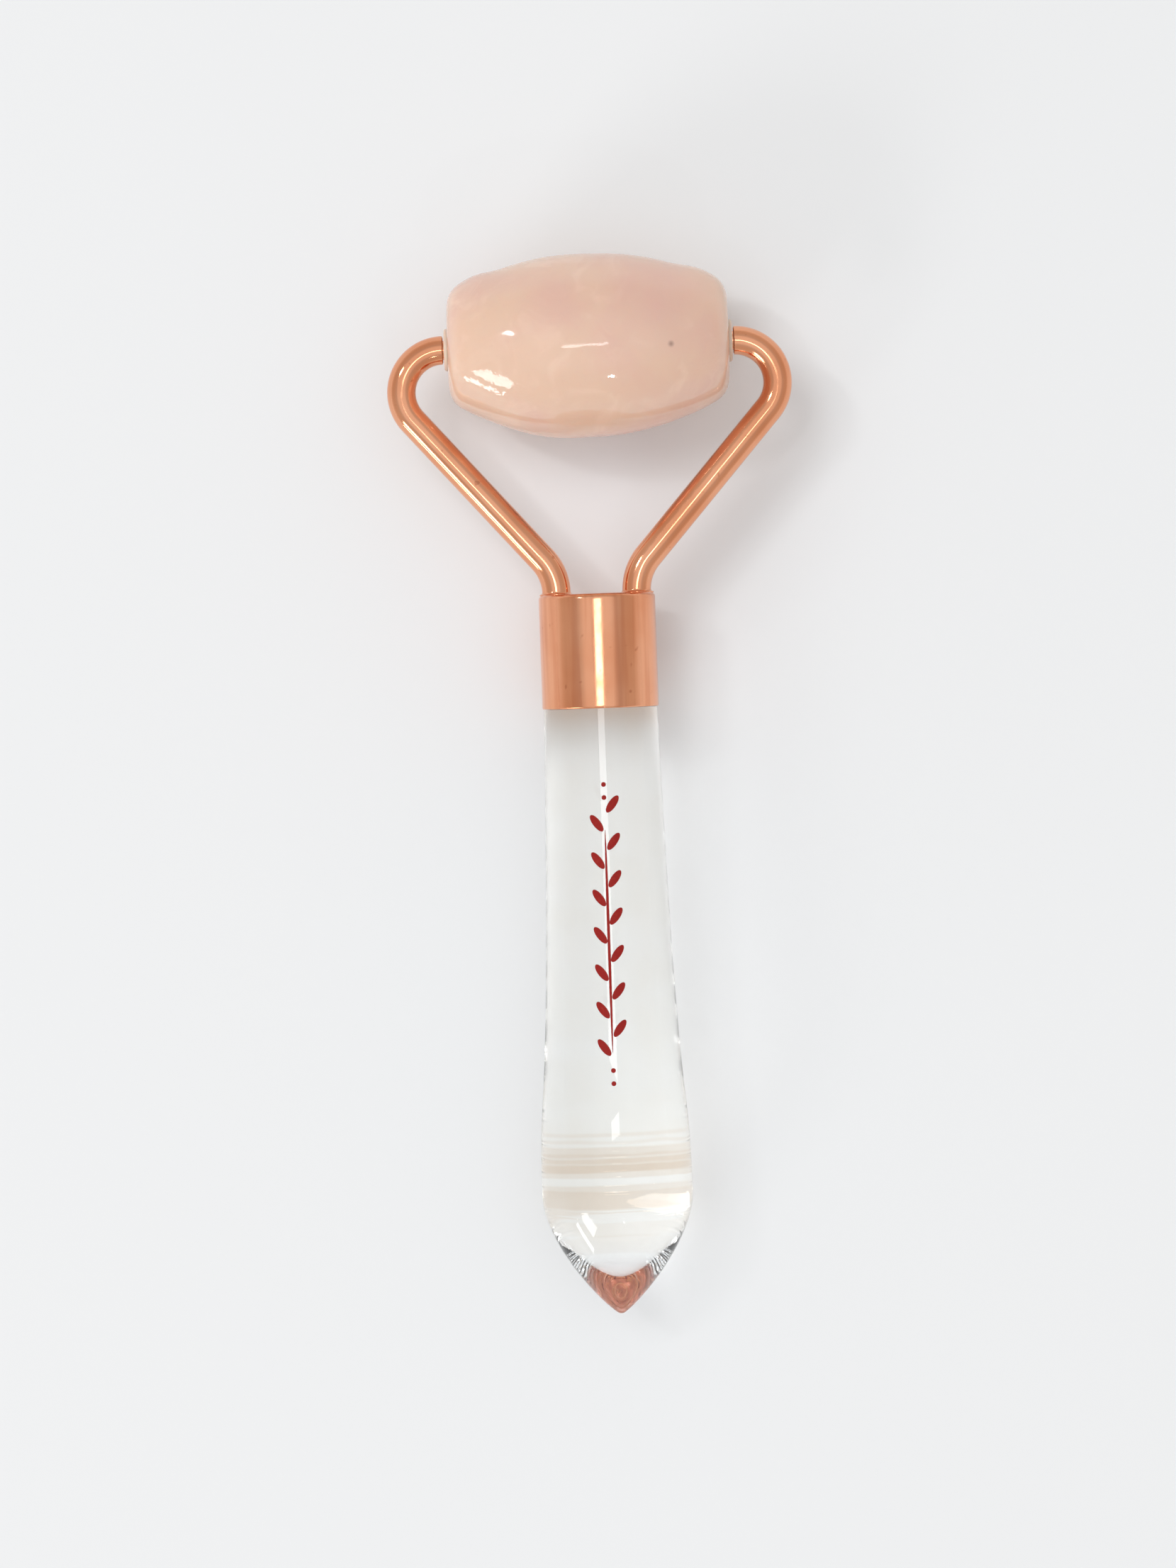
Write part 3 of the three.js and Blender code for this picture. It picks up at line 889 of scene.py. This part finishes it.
class ROLLER_OT_sprig(RollerOperator):
    """Prints a plain leafy sprig along the top of the handle"""

    bl_idname = "roller.sprig"
    bl_label = "Printed Sprig"

    def execute(self, context):
        s = context.scene.roller_print
        handle = context.scene.roller_handle
        high = 2 * HANDLE_HIGH.x
        near_end = -s.start
        far_end = near_end - s.extent
        marks = []

        def mark(width, height, place, heading, sides=24):
            """A rounded mark, drawn up into a prism from the handle's axis to above its top."""
            only()
            bpy.ops.mesh.primitive_circle_add(vertices=sides, radius=0.5, fill_type="NGON",
                                              calc_uvs=False)
            piece = bpy.context.object
            piece.scale = (width, height, 1)
            apply_place(piece)
            begin("mark")
            bpy.ops.mesh.select_all(action="SELECT")
            pull((0, 0, high))
            weld(piece)
            piece.location = (*place, 0)
            piece.rotation_euler = (0, 0, heading)
            apply_place(piece)
            marks.append(piece)

        pitch = s.extent / (s.pairs + 1)
        stagger = 0.25 * pitch
        for pair in range(s.pairs):
            along = near_end - pitch * (pair + 1)
            for side in (1, -1):
                reach = 0.5 * s.leaf_length * math.sin(s.spread) + 0.75 * s.stem_width
                sway = 0.5 * s.leaf_length * math.cos(s.spread)
                heading = QUARTER_TURN - side * s.spread
                shift = along + side * stagger
                mark(s.leaf_length, s.leaf_width, (side * reach, shift + sway), heading)
        stem_middle = near_end - 0.5 * s.extent - 0.2 * pitch
        mark(s.stem_width, s.extent - 2 * pitch, (0, stem_middle), heading=0, sides=48)
        for inwards in (0.0, 0.35 * pitch):
            mark(DOT, DOT, (0, near_end - inwards), heading=0)
            mark(DOT, DOT, (0, far_end + inwards), heading=0)

        only(*marks)
        bpy.ops.object.join()
        stamp = bpy.context.object
        stamp.name = "stamp"

        skin = [(radius, along) for radius, along in handle_profile(handle)
                if far_end - SKIN_MARGIN < along < near_end + SKIN_MARGIN]
        outline = [(radius + s.lift, along) for radius, along in skin]
        outline += [(radius + s.lift + s.thickness, along) for radius, along in reversed(skin)]
        outline.append(outline[0])
        sprig = turn("printed_sprig", outline, handle.sides)
        cut = sprig.modifiers.new("stamp", "BOOLEAN")
        cut.operation = "INTERSECT"
        cut.solver = "EXACT"
        cut.use_self = True
        cut.object = stamp
        only(sprig)
        bpy.ops.object.modifier_apply(modifier="stamp")
        bpy.data.objects.remove(stamp)
        only(sprig)
        bpy.ops.object.shade_smooth_by_angle(angle=SMOOTH_ANGLE)
        lay_down(sprig)
        dress(sprig, ink(s))
        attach(sprig, "handle_frame")
        return {"FINISHED"}


# ---- Stage ----
# Each light's way from the stone, and its distance, width and depth in metres
LIGHTS = {
    "key_light": ((-0.36, 0.33, 1), 8, 3.0, 3.0),
    "strip_light": ((0.005, -0.055, 1), 0.9, 0.2, 0.055),
    "left_lamp": ((-0.54, 0.29, 0.79), 1.8, 0.12, 0.2),
    "front_lamp": ((0.127, -0.7, 0.71), 0.95, 0.03, 0.03),
    "upper_pane": ((-0.64, -0.62, 0.43), 1.6, 0.58, 0.34),
    "lower_pane": ((-0.68, -0.71, 0.15), 1.6, 0.6, 0.13),
}
FRONT_LAMP_SHARE = 1 / 27  # of the left lamp's power
LOWER_PANE_SHARE = 1 / 2  # of the upper pane's power
SENSOR = 24  # the longer side of the camera's sensor, in millimetres
BOUNCES = 24  # enough for the light that is mirrored inside the handle's nose


def softbox(name, way, distance, width, depth, power):
    """A rectangular area light, that way and that far from the stone, and aimed at it."""
    only()
    way = Vector(way).normalized()
    bpy.ops.object.light_add(type="AREA", location=AXLE + way * distance)
    light = bpy.context.object
    light.name = name
    light.data.shape = "RECTANGLE"
    light.data.size = width
    light.data.size_y = depth
    light.data.energy = power
    light.rotation_euler = way.to_track_quat("Z", "Y").to_euler()
    return light


def room(settings):
    """A plain pale room that is brightest overhead. A height is 0 at floor level and 1 overhead."""
    world = bpy.data.worlds.new("pale_room")
    bpy.context.scene.world = world
    world.use_nodes = True
    nodes = Nodes(world.node_tree)
    way = nodes.add("ShaderNodeTexCoord", {}, {}, "Generated")
    height = nodes.add("ShaderNodeSeparateXYZ", {}, {"Vector": way}, "Z")
    height = height.clamped()
    glow = nodes.between(height, 0.0, 0.35, settings.horizon, settings.walls)
    glow = glow + nodes.between(height, 0.76, 0.92, 0.0, settings.overhead - settings.walls)
    warmth = nodes.between(height, 0.0, 0.3) * nodes.between(height, 0.5, 0.85, 1.0, 0.0)
    warmth = nodes.mix(warmth, settings.floor_light, settings.wall_colour)
    background = world.node_tree.nodes["Background"]
    nodes.feed(background.inputs["Color"], warmth)
    nodes.feed(background.inputs["Strength"], glow)


class ROLLER_OT_stage(RollerOperator):
    """Lays the pale floor, lights the room and sets up the camera"""

    bl_idname = "roller.stage"
    bl_label = "Stage"

    def execute(self, context):
        s = context.scene.roller_stage
        only()
        bpy.ops.mesh.primitive_plane_add(size=s.floor_size, location=(0, 0, 0))
        floor = bpy.context.object
        floor.name = "floor"
        dress(floor, paper(s))
        room(s)
        powers = {"key_light": s.key_power, "strip_light": s.strip_power, "left_lamp": s.lamp_power,
                  "front_lamp": s.lamp_power * FRONT_LAMP_SHARE, "upper_pane": s.pane_power,
                  "lower_pane": s.pane_power * LOWER_PANE_SHARE}
        for name, power in powers.items():
            light = softbox(name, *LIGHTS[name], power)
            # The key is soft daylight from all round, so nothing mirrors it as one bright shape.
            light.visible_glossy = name != "key_light"

        only()
        bpy.ops.object.camera_add(location=(-s.camera_aside, 0, AXLE.z + s.camera_height),
                                  rotation=(0, 0, s.camera_roll))
        camera = bpy.context.object
        camera.name = "overhead_camera"
        camera.data.sensor_width = SENSOR
        camera.data.lens = s.lens
        camera.data.clip_start = 0.01
        scene = context.scene
        scene.camera = camera
        scene.view_settings.view_transform = "Standard"
        scene.cycles.max_bounces = BOUNCES
        scene.cycles.transmission_bounces = BOUNCES
        scene.cycles.glossy_bounces = BOUNCES
        return {"FINISHED"}


OPERATORS = (ROLLER_OT_stage, ROLLER_OT_stone, ROLLER_OT_sleeves, ROLLER_OT_wires,
             ROLLER_OT_ferrule, ROLLER_OT_inner_metal, ROLLER_OT_handle, ROLLER_OT_sprig)
SETTINGS = {"roller_stone": StoneSettings, "roller_fork": ForkSettings,
            "roller_handle": HandleSettings, "roller_print": PrintSettings,
            "roller_stage": StageSettings}


class ROLLER_PT_panel(bpy.types.Panel):
    """Lists the roller's pieces in the sidebar"""

    bl_idname = "ROLLER_PT_panel"
    bl_label = "Facial Massage Roller"
    bl_space_type = "VIEW_3D"
    bl_region_type = "UI"
    bl_category = "Roller"

    def draw(self, context):
        for operator in OPERATORS:
            self.layout.operator(operator.bl_idname)
        for name, kind in SETTINGS.items():
            box = self.layout.box()
            box.label(text=kind.__doc__)
            for field in kind.__annotations__:
                box.prop(getattr(context.scene, name), field)


def register():
    for made in (*SETTINGS.values(), *OPERATORS, ROLLER_PT_panel):
        bpy.utils.register_class(made)
    for name, kind in SETTINGS.items():
        setattr(bpy.types.Scene, name, PointerProperty(type=kind))


def unregister():
    for name in SETTINGS:
        delattr(bpy.types.Scene, name)
    for made in (ROLLER_PT_panel, *reversed(OPERATORS), *reversed(SETTINGS.values())):
        bpy.utils.unregister_class(made)


def main():
    """Makes the stage and the roller."""
    register()
    bpy.ops.roller.stage()
    bpy.ops.roller.stone()
    bpy.ops.roller.sleeves()
    bpy.ops.roller.wires()
    bpy.ops.roller.ferrule()
    bpy.ops.roller.inner_metal()
    bpy.ops.roller.handle()
    bpy.ops.roller.sprig()


if __name__ == "__main__":
    main()
